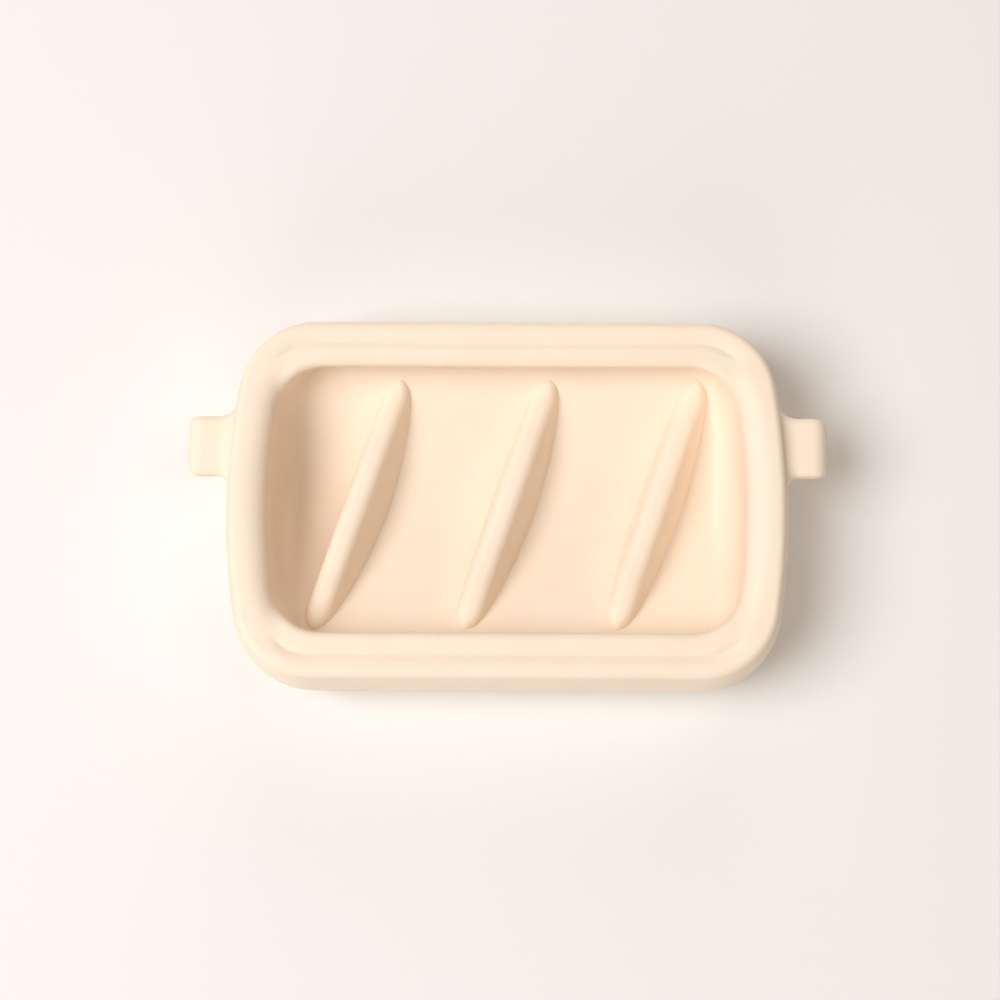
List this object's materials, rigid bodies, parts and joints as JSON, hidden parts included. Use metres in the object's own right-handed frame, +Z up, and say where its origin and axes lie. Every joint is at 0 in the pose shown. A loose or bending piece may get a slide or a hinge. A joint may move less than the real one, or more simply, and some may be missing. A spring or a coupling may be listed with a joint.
{
  "type": "silicone soap mould",
  "caption": "Shallow oblong silicone soap mould with a thick rolled rim, an arched floor with leaning ribs, and pull tabs at its ends.",
  "frame": {"origin": "middle of the base, on the surface that the mould stands on", "axes": "+X along the mould from tab to tab, +Y to the rear, where the tabs are set, +Z up out of the cavity"},
  "size_m": [0.1212, 0.071, 0.025],
  "materials": {
    "silicone": "cream cast silicone, soft matt"
  },
  "bodies": {
    "tub": {"floor": "silicone", "front_wall": "silicone", "rear_wall": "silicone", "left_end_wall": "silicone", "right_end_wall": "silicone", "front_rim_bead": "silicone", "rear_rim_bead": "silicone", "left_rib": "silicone", "middle_rib": "silicone", "right_rib": "silicone", "left_tab_root": "silicone", "right_tab_root": "silicone"},
    "left_tab": {"left_pull_tab": "silicone"},
    "right_tab": {"right_pull_tab": "silicone"}
  },
  "joints": [
    {"name": "left_tab_bend", "type": "hinge", "parent": "tub", "child": "left_tab", "pos_m": [-0.0567, 0.0102, 0.0201], "axis": [0, -1, 0], "range_deg": [-30, 35], "stiffness_Nm_per_rad": 0.017},
    {"name": "right_tab_bend", "type": "hinge", "parent": "tub", "child": "right_tab", "pos_m": [0.0567, 0.0102, 0.0201], "axis": [0, 1, 0], "range_deg": [-30, 35], "stiffness_Nm_per_rad": 0.017}
  ]
}
